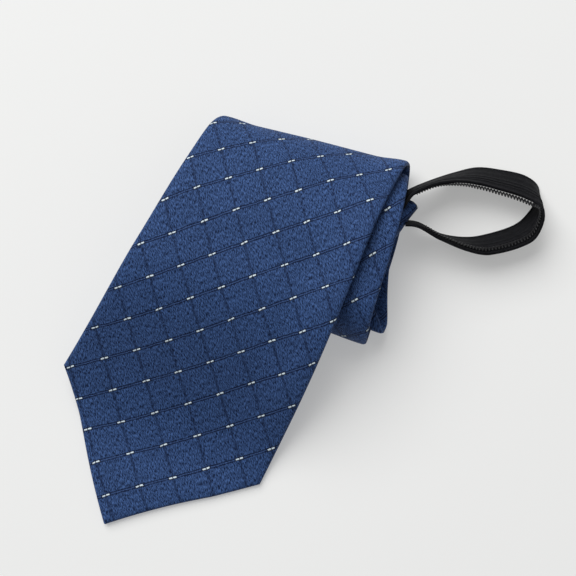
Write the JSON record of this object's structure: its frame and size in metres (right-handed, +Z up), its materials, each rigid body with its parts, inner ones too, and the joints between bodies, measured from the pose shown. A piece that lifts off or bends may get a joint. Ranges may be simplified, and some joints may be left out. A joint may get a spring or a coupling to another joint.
{
  "type": "zipper tie",
  "caption": "Ready-knotted necktie with a padded pointed blade, rolled loosely round its knot, and a zip-tape neckband loop.",
  "frame": {"origin": "under the middle of the tie's bounding box, on the surface it rests on", "axes": "+Z up from that surface, the blade's point towards -Y, the neckband loop towards +X and +Y"},
  "size_m": [0.1206, 0.1758, 0.0276],
  "materials": {
    "tie_cloth": "fine crepe weave with a soft sheen, bias windowpane check with small pale dashes at the crossings",
    "knot_cloth": "the same cloth, pulled tight over the knot",
    "tape_cloth": "matt charcoal woven zip tape with lengthwise ribs and stitch lines",
    "coil_nylon": "black nylon coil, slightly glossy"
  },
  "bodies": {
    "root": {"blade": "tie_cloth", "knot": "knot_cloth", "zip_tape": "tape_cloth", "zip_coil": "coil_nylon"}
  },
  "joints": []
}
